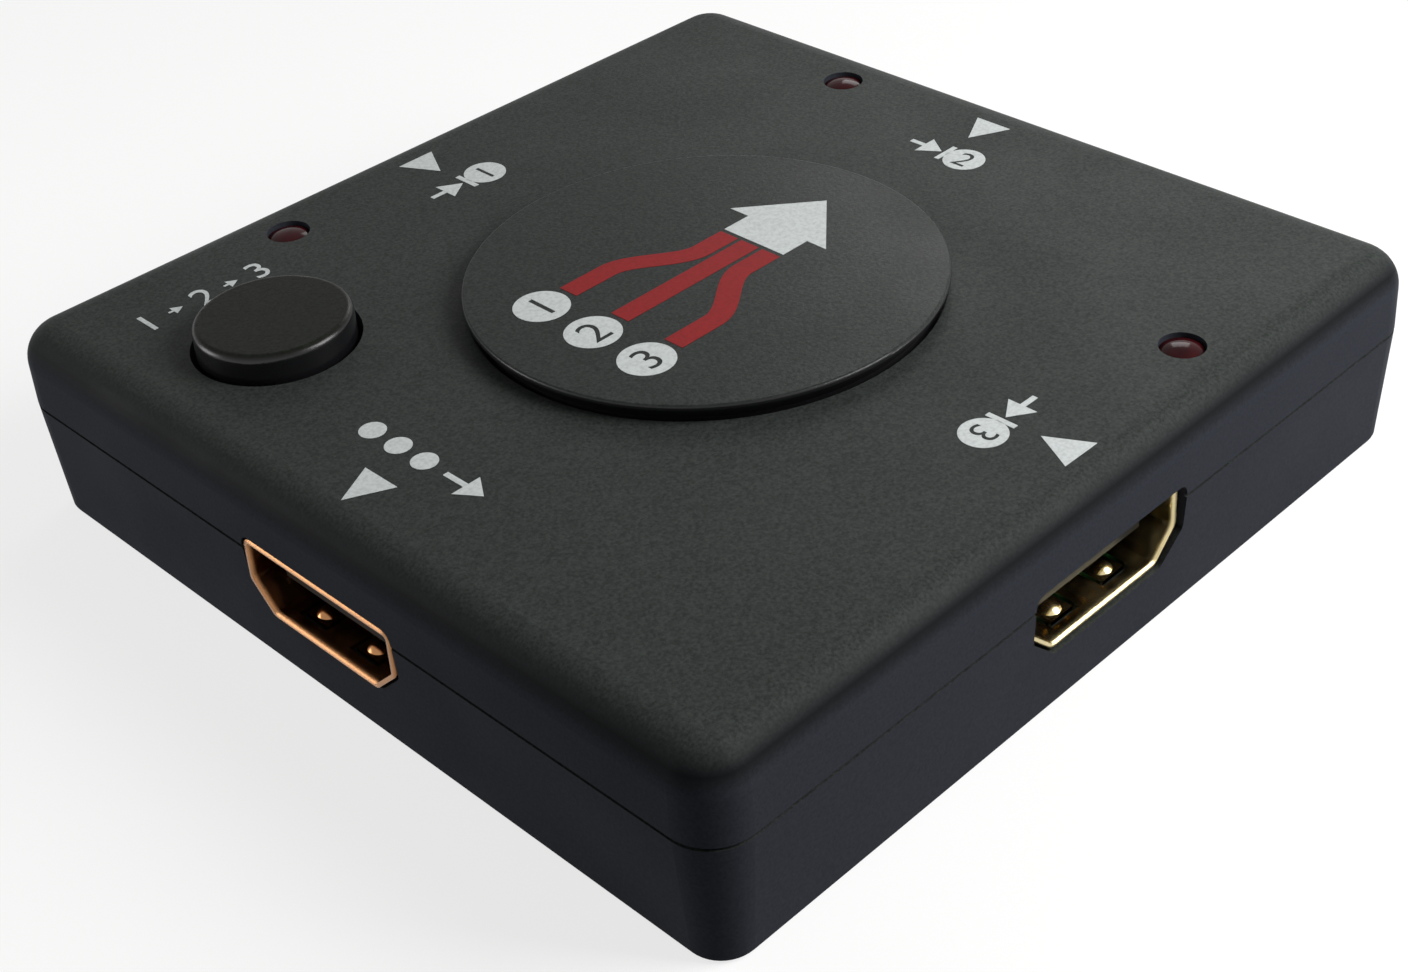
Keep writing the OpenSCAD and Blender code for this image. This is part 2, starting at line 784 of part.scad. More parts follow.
module receptacle_shell(tone) {
    bump_y = finger_front + finger_slot + bump_radius;
    shell_roof = shell_height - shell_wall / 2;
    color(tone) {
        difference() {
            receptacle_run(0, 0, shell_depth);
            receptacle_run(shell_wall, -past, shell_depth + past);
            for (x = [-finger_place, finger_place], z = [-past, shell_height - shell_wall - past])
                translate([x, 0, z])
                    finger_slots();
        }
        for (x = [-finger_place, finger_place]) {
            intersection() {
                translate([x, bump_y, shell_wall + bump_rise - bump_radius])
                    sphere(bump_radius, $fn = round_faces);
                translate([x - bump_radius, bump_y - bump_radius, shell_wall / 2])
                    cube(2 * bump_radius);
            }
            intersection() {
                translate([x, bump_y, shell_height - shell_wall - bump_rise + bump_radius])
                    sphere(bump_radius, $fn = round_faces);
                translate([x - bump_radius, bump_y - bump_radius, shell_roof - 2 * bump_radius])
                    cube(2 * bump_radius);
            }
        }
        intersection() {
            shell_legs(0, 0);
            translate([-shell_width, 0, -shell_height])
                cube([2 * shell_width, shell_depth, shell_height]);
        }
        for (side = [-1, 1], y = [leg_front, leg_front + leg_spacing])
            translate([side * (shell_width - shell_wall) / 2 - shell_wall / 2, y - leg_width / 2, 0])
                cube([shell_wall, leg_width, shell_height - shell_side_height + shell_bend]);
    }
}

module receptacle_insulator() {
    color(moulding_black)
    difference() {
        union() {
            receptacle_run(shell_wall + block_gap, block_front, shell_depth);
            translate([-tongue_width / 2, tongue_front, tongue_level - tongue_height / 2])
                cube([tongue_width, shell_depth - tongue_front, tongue_height]);
        }
        contact_rows();
    }
}

// Two staggered rows of contacts: each runs along the tongue, down behind the block and out on the board
module contact_rows() {
    strip_start = tongue_front + contact_front;
    for (row = [0, 1]) {
        count = upper_contacts - row;
        level = row == 0 ? tongue_level + tongue_height / 2 : tongue_level - tongue_height / 2 - contact_wall;
        for (i = [0 : count - 1])
            translate([(i - (count - 1) / 2) * contact_pitch - contact_width / 2, 0, 0]) {
                translate([0, strip_start, level])
                    cube([contact_width, shell_depth + contact_wall - strip_start, contact_wall]);
                translate([0, shell_depth, 0])
                    cube([contact_width, contact_wall, level + contact_wall]);
                translate([0, shell_depth, 0])
                    cube([contact_width, contact_foot, contact_wall]);
            }
    }
}

module receptacle_contacts() {
    color(gold)
        contact_rows();
}

// A chip's moulded body with the dimple that marks its first lead
module chip_body(length, width, height) {
    top = board_top + chip_lift + height;
    difference() {
        translate([-width / 2, -length / 2, board_top + chip_lift])
            cube([width, length, height]);
        translate([dimple_inset - width / 2, length / 2 - dimple_inset, top - dimple_depth])
            cylinder(r = dimple_radius, h = dimple_depth + past, $fn = round_faces);
    }
}

// One bent lead that leaves a body's side along +X: out, down and along the board
module bent_lead(reach, level, width) {
    translate([0, -width / 2, level - chip_lead_wall])
        cube([reach / 2, width, chip_lead_wall]);
    translate([reach / 2 - chip_lead_wall, -width / 2, 0])
        cube([chip_lead_wall, width, level]);
    translate([reach / 2 - chip_lead_wall, -width / 2, 0])
        cube([reach / 2 + chip_lead_wall, width, chip_lead_wall]);
}

module at_control_chip() {
    translate([control_place, -control_place, 0])
        children();
}

module switch_chip() {
    color(moulding_black)
        chip_body(chip_side, chip_side, chip_height);
}

module switch_chip_leads() {
    color(steel_grey)
    for (turn = [0 : 90 : 270], i = [0 : chip_leads_per_side - 1])
        rotate([0, 0, turn])
            translate([chip_side / 2, (i - (chip_leads_per_side - 1) / 2) * chip_lead_pitch, board_top])
                bent_lead(chip_lead_reach, chip_lift + chip_height / 2, chip_lead_width);
}

module control_chip() {
    color(moulding_black)
    at_control_chip()
        chip_body(control_length, control_width, control_height);
}

module control_chip_leads() {
    middle = (control_leads_per_side - 1) / 2;
    color(steel_grey)
    at_control_chip()
        for (side = [0, 180], i = [0 : control_leads_per_side - 1])
            rotate([0, 0, side])
                translate([control_width / 2, (i - middle) * control_lead_pitch, board_top])
                    bent_lead(chip_lead_reach, chip_lift + control_height / 2, chip_lead_width);
}

module at_capacitors() {
    for (x = [-capacitor_place, capacitor_place], y = [-capacitor_place, capacitor_place])
        translate([x, y, 0])
            children();
}

module at_resistors() {
    for (turn = [0 : 90 : 270], i = [0 : resistors_per_row - 1])
        rotate([0, 0, turn])
            translate([resistor_place, (i - (resistors_per_row - 1) / 2) * resistor_pitch, 0])
                children();
}

// The ceramic body of a chip resistor or capacitor, between its end terminals
module passive(height) {
    body_length = passive_length - 2 * terminal_length;
    translate([-body_length / 2, -passive_width / 2, board_top])
        cube([body_length, passive_width, height]);
}

module passive_ends(height) {
    for (x = [-passive_length / 2, passive_length / 2 - terminal_length])
        translate([x, -passive_width / 2, board_top])
            cube([terminal_length, passive_width, height]);
}

module capacitors() {
    color("#a88a62")
    at_capacitors()
        passive(capacitor_height);
}

module resistors() {
    color("#1c1c20")
    at_resistors()
        passive(resistor_height);
}

module end_terminals() {
    color(steel_grey) {
        at_capacitors()
            passive_ends(capacitor_height);
        at_resistors()
            passive_ends(resistor_height);
    }
}

upper_shell();
lower_shell();
case_screws();
centre_disc();
select_button();
switch_base();
switch_legs();
switch_cover();
switch_plunger();
snap_dome();
circuit_board();
switch_chip();
switch_chip_leads();
control_chip();
control_chip_leads();
capacitors();
resistors();
end_terminals();
lamp(lamp_spots[0]);  // lamp_1
lamp(lamp_spots[1]);  // lamp_2
lamp(lamp_spots[2]);  // lamp_3
lamp_leads();
at_output() receptacle_shell("#b98f5a");  // output_shell
at_output() receptacle_insulator();  // output_insulator
at_output() receptacle_contacts();  // output_contacts
at_input(1) receptacle_shell("#cdbb8c");  // input_1_shell
at_input(1) receptacle_insulator();  // input_1_insulator
at_input(1) receptacle_contacts();  // input_1_contacts
at_input(2) receptacle_shell("#cdbb8c");  // input_2_shell
at_input(2) receptacle_insulator();  // input_2_insulator
at_input(2) receptacle_contacts();  // input_2_contacts
at_input(3) receptacle_shell("#cdbb8c");  // input_3_shell
at_input(3) receptacle_insulator();  // input_3_insulator
at_input(3) receptacle_contacts();  // input_3_contacts
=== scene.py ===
"""Video switch box: camera, stage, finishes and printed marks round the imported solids."""

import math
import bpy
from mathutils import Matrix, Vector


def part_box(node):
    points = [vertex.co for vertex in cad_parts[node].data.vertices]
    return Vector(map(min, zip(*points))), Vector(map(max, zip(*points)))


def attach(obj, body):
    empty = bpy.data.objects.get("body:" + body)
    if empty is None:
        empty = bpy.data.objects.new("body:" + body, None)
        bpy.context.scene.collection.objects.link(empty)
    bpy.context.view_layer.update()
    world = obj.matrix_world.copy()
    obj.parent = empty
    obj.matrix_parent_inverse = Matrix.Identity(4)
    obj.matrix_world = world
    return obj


bl_info = {
    "name": "Video Switch Box",
    "version": (1, 0, 0),
    "blender": (4, 5, 0),
    "location": "View3D > Sidebar > Switch Box",
    "description": "Finishes, prints and lights a flat square video switch box",
    "category": "Object",
}

import bpy
from bpy.props import FloatProperty, FloatVectorProperty, PointerProperty
from bpy.types import Operator, Panel, PropertyGroup
from mathutils import Matrix, Vector
from mathutils.geometry import interpolate_bezier

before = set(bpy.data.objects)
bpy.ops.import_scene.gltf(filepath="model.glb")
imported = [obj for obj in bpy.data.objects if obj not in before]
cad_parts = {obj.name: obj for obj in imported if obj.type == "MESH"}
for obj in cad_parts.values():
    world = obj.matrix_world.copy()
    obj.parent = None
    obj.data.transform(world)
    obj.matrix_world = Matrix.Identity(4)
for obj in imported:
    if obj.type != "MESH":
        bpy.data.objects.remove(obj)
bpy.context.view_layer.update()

MM = 0.001
# Size of the photograph in pixels, and width of the camera's sensor in millimetres
IMAGE_WIDTH = 1408
IMAGE_HEIGHT = 972
SENSOR_WIDTH = 36.0
# Faces that carry print, and the button's box
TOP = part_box("upper_shell")[1].z
DISC_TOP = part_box("centre_disc")[1].z
BUTTON_LOW, BUTTON_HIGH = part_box("select_button")
# The sides that hold an input, as turns of the first input's side about Z
INPUT_TURNS = (0.0, -90.0, 180.0)
# The output's marks are turned like the second input's, and lie on the other side of the middle
OUTPUT_TURN = -90.0
RECEPTACLES = ("output", "input_1", "input_2", "input_3")
TINNED_NODES = (
    "switch_chip_leads", "control_chip_leads", "end_terminals", "lamp_leads",
    "switch_legs", "switch_cover", "snap_dome",
)
# Distances of the receptacles' lips from the middle of the case
OUTPUT_RIM = -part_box("output_shell")[0].x
INPUT_RIM = -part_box("input_3_shell")[0].y
# Height of a number in a roundel, as a share of the roundel's diameter
DIGIT_SHARE = 0.62
# Length of an arrow's head, as a share of its width
HEAD_SHARE = 0.75
# Name, place and side in metres, and watts of each lamp
LAMPS = (
    ("key", (0.11, -0.16, 0.15), 0.14, 0.85),
    ("sheen", (0.30, 0.18, 0.20), 0.14, 0.3),
    ("fill", (-0.14, 0.13, 0.04), 0.08, 0.1),
)
WHITE = (1.0, 1.0, 1.0, 1.0)
# Sockets of a Mix node, by place, because their names repeat
MIX_SHARE = 0
FLOAT_A, FLOAT_B = 2, 3
VECTOR_A, VECTOR_B, VECTOR_OUT = 4, 5, 1
COLOUR_A, COLOUR_B, COLOUR_OUT = 6, 7, 2
# Settings of a Mix node that multiplies a colour by a tone
TONED = {"data_type": "RGBA", "blend_type": "MULTIPLY"}
# The middle of a noise, where most of its values lie
NOISE_SPAN = {"From Min": 0.3, "From Max": 0.7}
BEVEL_SAMPLES = 8


def linear(hex_colour):
    """Turns an sRGB hex colour to the linear values that the shaders take."""
    channels = [int(hex_colour[i:i + 2], 16) / 255 for i in (1, 3, 5)]
    return [c / 12.92 if c <= 0.04045 else ((c + 0.055) / 1.055) ** 2.4 for c in channels]


def length(label, about, millimetres):
    """A size in a panel, in metres, given in millimetres."""
    return FloatProperty(
        name=label, description=about, default=millimetres * MM, unit="LENGTH", precision=5
    )


def lengths(label, about, millimetres):
    """Three sizes in a panel, one for each input, in metres, given in millimetres."""
    metres = [size * MM for size in millimetres]
    return FloatVectorProperty(
        name=label, description=about, default=metres, unit="LENGTH", size=3, precision=5
    )


def colour(label, about, hex_colour):
    """A colour in a panel, given as an sRGB hex value."""
    return FloatVectorProperty(
        name=label, description=about, default=linear(hex_colour), subtype="COLOR", size=3,
        min=0, max=1,
    )


class SwitchBoxCamera(PropertyGroup):
    """Where the photograph was taken from."""

    place: FloatVectorProperty(
        name="Place", description="Where the lens stands", unit="LENGTH", subtype="XYZ",
        default=(-92.40 * MM, -100.29 * MM, 96.73 * MM),
    )
    azimuth: FloatProperty(
        name="Azimuth", description="Turn of the view about Z", subtype="ANGLE",
        default=math.radians(-43.76),
    )
    elevation: FloatProperty(
        name="Elevation", description="Tilt of the view below level", subtype="ANGLE",
        default=math.radians(30.63),
    )
    roll: FloatProperty(
        name="Roll", description="Lean of the camera about its own axis", subtype="ANGLE",
        default=math.radians(-3.80),
    )
    lens: FloatProperty(
        name="Lens", description="Focal length on a 36 mm wide sensor", default=58.26
    )
    middle_x: FloatProperty(
        name="Middle X", description="Pixel of the lens axis across the image", default=744.2
    )
    middle_y: FloatProperty(
        name="Middle Y", description="Pixel of the lens axis down the image", default=273.6
    )


class SwitchBoxPrint(PropertyGroup):
    """Sizes and places of the printed marks."""

    ink: length("Ink", "Thickness of the printed ink", 0.02)
    stroke: length("Stroke", "Width of the lines of a mark", 0.42)
    mark_height: length("Mark height", "Height of the line marks", 2.3)
    digit_height: length("Digit height", "Height of the numbers beside the button", 2.3)
    pointer_width: length(
        "Pointer width", "Base of the triangles that point at the receptacles", 3.2
    )
    pointer_height: length("Pointer height", "Height of those triangles", 3.1)
    input_pointer: length("Input pointer", "Distance of an input's triangle from the middle", 29.8)
    output_pointer: length(
        "Output pointer", "Distance of the output's triangle from the middle", 30.7
    )
    label_row: length("Label row", "Distance of the inputs' labels from the middle", 25.3)
    along_shift: lengths(
        "Shift along", "How far each input's marks are printed off along their side",
        (-0.95, 0.2, -0.2),
    )
    out_shift: lengths(
        "Shift outwards", "How far each input's marks are printed off outwards", (0.0, 0.0, 0.85)
    )
    roundel: length("Roundel", "Diameter of the round number labels", 3.25)
    roundel_along: length("Roundel place", "Distance of a roundel along its side", 2.0)
    arrow_along: length("Arrow place", "Distance of an input's arrow along its side", -1.7)
    arrow_length: length("Arrow length", "Length of an input's arrow", 3.0)
    output_row: length("Output row", "Distance of the output's mark from the middle", 26.3)
    output_along: length("Output place", "Distance of the output's mark along its side", 1.0)
    output_pointer_along: length(
        "Output pointer place", "Distance of the output's triangle along its side", 0.6
    )
    output_length: length("Output length", "Length of the output's mark", 12.2)
    select_row: length("Select row", "Distance of the button's marks from the middle", 26.85)
    select_length: length("Select length", "Length of the button's marks", 11.6)


class SwitchBoxDisc(PropertyGroup):
    """Sizes of the diagram on the disc: three lines that run into one arrow."""

    line: length("Line", "Width of the red lines", 1.7)
    gap: length("Gap", "Distance between the lines where they lie side by side", 0.35)
    spread: length("Spread", "Distance between the lines at their start", 5.2)
    start: length("Start", "Where the lines start along X", -8.2)
    bend_start: length("Bend start", "Where the lines begin to close in", -4.5)
    bend_end: length("Bend end", "Where the lines lie side by side", 1.6)
    line_end: length("Line end", "Where the lines stop along X", 4.4)
    arrow_end: length("Arrow end", "Tip of the white arrow along X", 12.4)
    arrow_width: length("Arrow width", "Width of the arrow's head", 9.4)
    arrow_head: length("Arrow head", "Length of the arrow's head", 5.2)
    roundel: length("Roundel", "Diameter of the number roundels", 4.0)


class SwitchBoxColours(PropertyGroup):
    """Colours of the finishes."""

    case_top: colour("Case top", "Grained top of the case", "#2d302e")
    # painted light: the sides' bluish colour stands for the cool light that falls on them; their
    # plastic is the top's
    case_side: colour("Case side", "Smoother sides of the case", "#2b2d33")
    disc: colour("Disc", "Grained face of the raised disc", "#282b29")
    # painted shade: the sides of the disc and the button are painted near black for the shade they
    # lie in
    trim_side: colour("Trim side", "Smooth sides of the disc and the button", "#0c0c0e")
    button: colour("Button", "Select button", "#171914")
    white_ink: colour("White ink", "White print", "#bdc2c1")
    red_ink: colour("Red ink", "Red print", "#7c1517")
    lamp: colour("Lamp", "Red tinted lamp epoxy", "#2c080b")
    output_metal: colour("Output metal", "Plated shell of the output", "#ac7c54")
    input_metal: colour("Input metal", "Plated shells of the inputs", "#dccb9c")
    # painted shade: the cut tips of the spring fingers are painted near black, partly for their
    # dull cut edge and mostly for the shade they lie in
    sheared: colour("Sheared edge", "Dull cut tips of the spring fingers", "#1a1713")
    contact: colour("Contact", "Gold of the contacts", "#d0a24a")
    moulding: colour("Moulding", "Black insulators and chips", "#0c0c0c")
    board: colour("Board", "Green solder resist", "#123a24")
    tin: colour("Tin", "Tinned leads", "#b8b9b6")
    zinc: colour("Zinc", "Plated screws", "#8d8f92")
    capacitor: colour("Capacitor", "Fired body of the chip capacitors", "#a88a62")
    resistor: colour("Resistor", "Glazed body of the chip resistors", "#1c1c20")
    floor: colour("Floor", "Paper that the box lies on", "#f6f6f4")
    floor_bounce: colour("Floor bounce", "Light that the paper throws back on the box", "#909090")


def settings(group):
    """One of the panel's groups of settings."""
    return getattr(bpy.context.scene, "switch_box_" + group)


def shade_of(name):
    """A colour of the panel with the alpha that a socket takes."""
    return (*getattr(settings("colours"), name), 1.0)


def add_node(tree, kind, sockets=None, links=None, **attributes):
    """Adds a node, sets its attributes and sockets, and links its inputs."""
    node = tree.nodes.new(kind)
    for key, value in attributes.items():
        setattr(node, key, value)
    for key, value in (sockets or {}).items():
        node.inputs[key].default_value = value
    for key, source in (links or {}).items():
        tree.links.new(source, node.inputs[key])
    return node


def new_material(name):
    """An empty node material and its tree."""
    material = bpy.data.materials.new(name)
    material.use_nodes = True
    material.node_tree.nodes.clear()
    return material, material.node_tree


def spark_eroded_abs(name, top_colour, painted_side_colour, roughness, edge_gloss):
    """ABS moulded against a spark-eroded tool: a fine, even, slightly sparkling grain on the faces
    that look up, and smoother sides with a gloss of their own, where the tool draws off them. The
    sides take a colour of painted light, and a band of painted shade darkens the rolled edge
    between them."""
    grain_mm = 0.22  # the real grain is about 0.06 mm, drawn coarser so that it shows
    cloud_mm = 9.0
    relief_mm = 0.03
    side_tilt = 0.15  # upward part of the normal where a side ends
    top_tilt = 0.9  # and where the top begins
    half_turn = 0.5  # where the painted shade on the rolled edge is darkest
    side_grain = 0.35  # share of the grain on a side that only just looks up
    shade_share = 0.75  # of the grain's tone and the band's painted shade in the colour
    top_gloss = 0.04
    material, tree = new_material(name)
    place = add_node(tree, "ShaderNodeTexCoord")
    grain = add_node(
        tree, "ShaderNodeTexNoise",
        {"Scale": 1 / (grain_mm * MM), "Detail": 2.0, "Roughness": 0.6},
        {"Vector": place.outputs["Object"]},
    )
    cloud = add_node(
        tree, "ShaderNodeTexNoise", {"Scale": 1 / (cloud_mm * MM), "Detail": 3.0},
        {"Vector": place.outputs["Object"]},
    )
    facing = add_node(tree, "ShaderNodeNewGeometry")
    split = add_node(tree, "ShaderNodeSeparateXYZ", links={"Vector": facing.outputs["Normal"]})
    upward = add_node(
        tree, "ShaderNodeMapRange", {"From Min": side_tilt, "From Max": top_tilt},
        {"Value": split.outputs["Z"]},
    )
    # painted light: faces that look sideways take the side colour, which stands for light and
    # shade on them, not another plastic
    ground_with_painted_sides = add_node(
        tree, "ShaderNodeMix", {COLOUR_A: painted_side_colour, COLOUR_B: top_colour},
        {MIX_SHARE: upward.outputs[0]}, data_type="RGBA",
    )
    speck = add_node(
        tree, "ShaderNodeMapRange", {**NOISE_SPAN, "To Min": 0.5, "To Max": 1.55},
        {"Value": grain.outputs["Fac"]},
    )
    grained = add_node(
        tree, "ShaderNodeMapRange", {"To Min": side_grain}, {"Value": upward.outputs[0]}
    )
    drawn = add_node(
        tree, "ShaderNodeMix", {FLOAT_A: 1.0},
        {MIX_SHARE: grained.outputs[0], FLOAT_B: speck.outputs[0]}, data_type="FLOAT",
    )
    # painted shade: a band along the rolled edge, where the colour falls to a quarter at the
    # edge's halfway turn
    turn = add_node(
        tree, "ShaderNodeMath", {1: half_turn}, {0: upward.outputs[0]}, operation="PINGPONG"
    )
    rolled = add_node(
        tree, "ShaderNodeMapRange", {"From Max": half_turn, "To Min": 1.0, "To Max": 0.0},
        {"Value": turn.outputs[0]},
    )
    shade = add_node(
        tree, "ShaderNodeMath", links={0: drawn.outputs[0], 1: rolled.outputs[0]},
        operation="MULTIPLY",
    )
    speckled_base_with_painted_shade = add_node(
        tree, "ShaderNodeMix", {MIX_SHARE: shade_share},
        {COLOUR_A: ground_with_painted_sides.outputs[COLOUR_OUT], COLOUR_B: shade.outputs[0]}, **TONED,
    )
    satin = add_node(
        tree, "ShaderNodeMapRange",
        {**NOISE_SPAN, "To Min": roughness - 0.05, "To Max": roughness + 0.06},
        {"Value": cloud.outputs["Fac"]},
    )
    depth = add_node(
        tree, "ShaderNodeMapRange", {"To Min": 0.12, "To Max": 0.5}, {"Value": upward.outputs[0]}
    )
    bump = add_node(
        tree, "ShaderNodeBump", {"Distance": relief_mm * MM},
        {"Height": grain.outputs["Fac"], "Strength": depth.outputs[0]},
    )
    gloss = add_node(
        tree, "ShaderNodeMapRange", {"To Min": edge_gloss, "To Max": top_gloss},
        {"Value": upward.outputs[0]},
    )
    shader = add_node(
        tree, "ShaderNodeBsdfPrincipled", {"IOR": 1.53},
        {
            "Base Color": speckled_base_with_painted_shade.outputs[COLOUR_OUT], "Roughness": satin.outputs[0],
            "Specular IOR Level": gloss.outputs[0], "Normal": bump.outputs[0],
        },
    )
    add_node(tree, "ShaderNodeOutputMaterial", links={"Surface": shader.outputs[0]})
    return material


def pad_printed_ink(name, ink_colour):
    """Pad-printed ink: an even, slightly chalky film that lets the grain under it show faintly."""
    grain_mm = 0.25  # about as coarse as the case's drawn grain
    relief_mm = 0.02
    material, tree = new_material(name)
    place = add_node(tree, "ShaderNodeTexCoord")
    grain = add_node(
        tree, "ShaderNodeTexNoise", {"Scale": 1 / (grain_mm * MM), "Detail": 2.0},
        {"Vector": place.outputs["Object"]},
    )
    cover = add_node(
        tree, "ShaderNodeMapRange",
        {"From Min": 0.25, "From Max": 0.6, "To Min": 0.8, "To Max": 1.0},
        {"Value": grain.outputs["Fac"]},
    )
    film = add_node(
        tree, "ShaderNodeMix", {MIX_SHARE: 1.0, COLOUR_A: ink_colour},
        {COLOUR_B: cover.outputs[0]}, **TONED,
    )
    bump = add_node(
        tree, "ShaderNodeBump", {"Strength": 0.3, "Distance": relief_mm * MM},
        {"Height": grain.outputs["Fac"]},
    )
    shader = add_node(
        tree, "ShaderNodeBsdfPrincipled",
        {"Roughness": 0.55, "IOR": 1.5, "Specular IOR Level": 0.1},
        {"Base Color": film.outputs[COLOUR_OUT], "Normal": bump.outputs[0]},
    )
    add_node(tree, "ShaderNodeOutputMaterial", links={"Surface": shader.outputs[0]})
    return material


def plated_metal(name, metal_colour, roughness, streak_mm, rim=None):
    """Plated or tinned metal: a bright mirror broken by faint rolling marks and handling bloom,
    with edges that the plating rounds, so that they catch a line of light. A rim is the distance
    from the middle of the case at which a receptacle's shell has its lip."""
    bloom_mm = 1.8
    edge_mm = 0.05
    relief_mm = 0.01
    material, tree = new_material(name)
    place = add_node(tree, "ShaderNodeTexCoord")
    streak = add_node(
        tree, "ShaderNodeTexNoise", {"Scale": 1 / (streak_mm * MM), "Detail": 4.0},
        {"Vector": place.outputs["Object"]},
    )
    bloom = add_node(
        tree, "ShaderNodeTexNoise", {"Scale": 1 / (bloom_mm * MM), "Detail": 3.0},
        {"Vector": place.outputs["Object"]},
    )
    tone = add_node(
        tree, "ShaderNodeMapRange", {**NOISE_SPAN, "To Min": 0.82, "To Max": 1.05},
        {"Value": bloom.outputs["Fac"]},
    )
    plate = add_node(
        tree, "ShaderNodeMix", {MIX_SHARE: 1.0, COLOUR_A: metal_colour},
        {COLOUR_B: tone.outputs[0]}, **TONED,
    )
    polish = add_node(
        tree, "ShaderNodeMapRange",
        {**NOISE_SPAN, "To Min": roughness * 0.7, "To Max": roughness * 1.4},
        {"Value": bloom.outputs["Fac"]},
    )
    tint = plate.outputs[COLOUR_OUT]
    if rim:
        normal, tint = rolled_lip(tree, place.outputs["Object"], rim, tint)
    else:
        edge = add_node(
            tree, "ShaderNodeBevel", {"Radius": edge_mm * MM}, samples=BEVEL_SAMPLES
        )
        normal = edge.outputs[0]
    bump = add_node(
        tree, "ShaderNodeBump", {"Strength": 0.15, "Distance": relief_mm * MM},
        {"Height": streak.outputs["Fac"], "Normal": normal},
    )
    shader = add_node(
        tree, "ShaderNodeBsdfPrincipled", {"Metallic": 1.0},
        {"Base Color": tint, "Roughness": polish.outputs[0], "Normal": bump.outputs[0]},
    )
    add_node(tree, "ShaderNodeOutputMaterial", links={"Surface": shader.outputs[0]})
    return material


def rolled_lip(tree, place, rim, tint):
    """Shades a shell's mouth as a rolled lip, which shows as a band of light, and paints the cut
    tips of its spring fingers near black: partly their dull cut edge, mostly painted shade.
    Returns the normal and the colour to use."""
    lip_mm = 0.6
    reach_mm = 0.9
    tip_start = 0.88  # outward part of the normal where the painted shade on a tip begins
    tip_end = 0.95  # and where it is full
    size = add_node(tree, "ShaderNodeVectorMath", links={0: place}, operation="ABSOLUTE")
    split = add_node(tree, "ShaderNodeSeparateXYZ", links={"Vector": size.outputs[0]})
    out = add_node(
        tree, "ShaderNodeMath", links={0: split.outputs["X"], 1: split.outputs["Y"]},
        operation="MAXIMUM",
    )
    near = add_node(
        tree, "ShaderNodeMapRange",
        {"From Min": rim - reach_mm * MM, "From Max": rim - lip_mm * MM},
        {"Value": out.outputs[0]},
    )
    face = add_node(tree, "ShaderNodeNewGeometry")
    lip = add_node(tree, "ShaderNodeBevel", {"Radius": lip_mm * MM}, samples=BEVEL_SAMPLES)
    rolled = add_node(
        tree, "ShaderNodeMix",
        links={
            MIX_SHARE: near.outputs[0], VECTOR_A: face.outputs["Normal"], VECTOR_B: lip.outputs[0],
        },
        data_type="VECTOR",
    )
    level = add_node(
        tree, "ShaderNodeVectorMath", {1: (1.0, 1.0, 0.0)}, {0: place}, operation="MULTIPLY"
    )
    outwards = add_node(
        tree, "ShaderNodeVectorMath", links={0: level.outputs[0]}, operation="NORMALIZE"
    )
    facing = add_node(
        tree, "ShaderNodeVectorMath",
        links={0: outwards.outputs[0], 1: face.outputs["True Normal"]}, operation="DOT_PRODUCT",
    )
    sheared = add_node(
        tree, "ShaderNodeMapRange", {"From Min": tip_start, "From Max": tip_end},
        {"Value": facing.outputs["Value"]},
    )
    # painted shade on the cut finger tips, kept off the lip
    dull = add_node(
        tree, "ShaderNodeMath", links={0: sheared.outputs[0], 1: near.outputs[0]},
        operation="SUBTRACT", use_clamp=True,
    )
    tint_with_tip_shade = add_node(
        tree, "ShaderNodeMix", {COLOUR_B: shade_of("sheared")},
        {MIX_SHARE: dull.outputs[0], COLOUR_A: tint}, data_type="RGBA",
    )
    return rolled.outputs[VECTOR_OUT], tint_with_tip_shade.outputs[COLOUR_OUT]


def dull_body(name, body_colour, roughness, grain_mm):
    """Glass-filled nylon, moulding compound or fired ceramic: dull, with a fine cloudy surface."""
    relief_mm = 0.02
    material, tree = new_material(name)
    place = add_node(tree, "ShaderNodeTexCoord")
    cloud = add_node(
        tree, "ShaderNodeTexNoise", {"Scale": 1 / (grain_mm * MM), "Detail": 4.0},
        {"Vector": place.outputs["Object"]},
    )
    tone = add_node(
        tree, "ShaderNodeMapRange", {**NOISE_SPAN, "To Min": 0.75, "To Max": 1.25},
        {"Value": cloud.outputs["Fac"]},
    )
    body = add_node(
        tree, "ShaderNodeMix", {MIX_SHARE: 1.0, COLOUR_A: body_colour},
        {COLOUR_B: tone.outputs[0]}, **TONED,
    )
    bump = add_node(
        tree, "ShaderNodeBump", {"Strength": 0.25, "Distance": relief_mm * MM},
        {"Height": cloud.outputs["Fac"]},
    )
    shader = add_node(
        tree, "ShaderNodeBsdfPrincipled",
        {"Roughness": roughness, "IOR": 1.52, "Specular IOR Level": 0.15},
        {"Base Color": body.outputs[COLOUR_OUT], "Normal": bump.outputs[0]},
    )
    add_node(tree, "ShaderNodeOutputMaterial", links={"Surface": shader.outputs[0]})
    return material


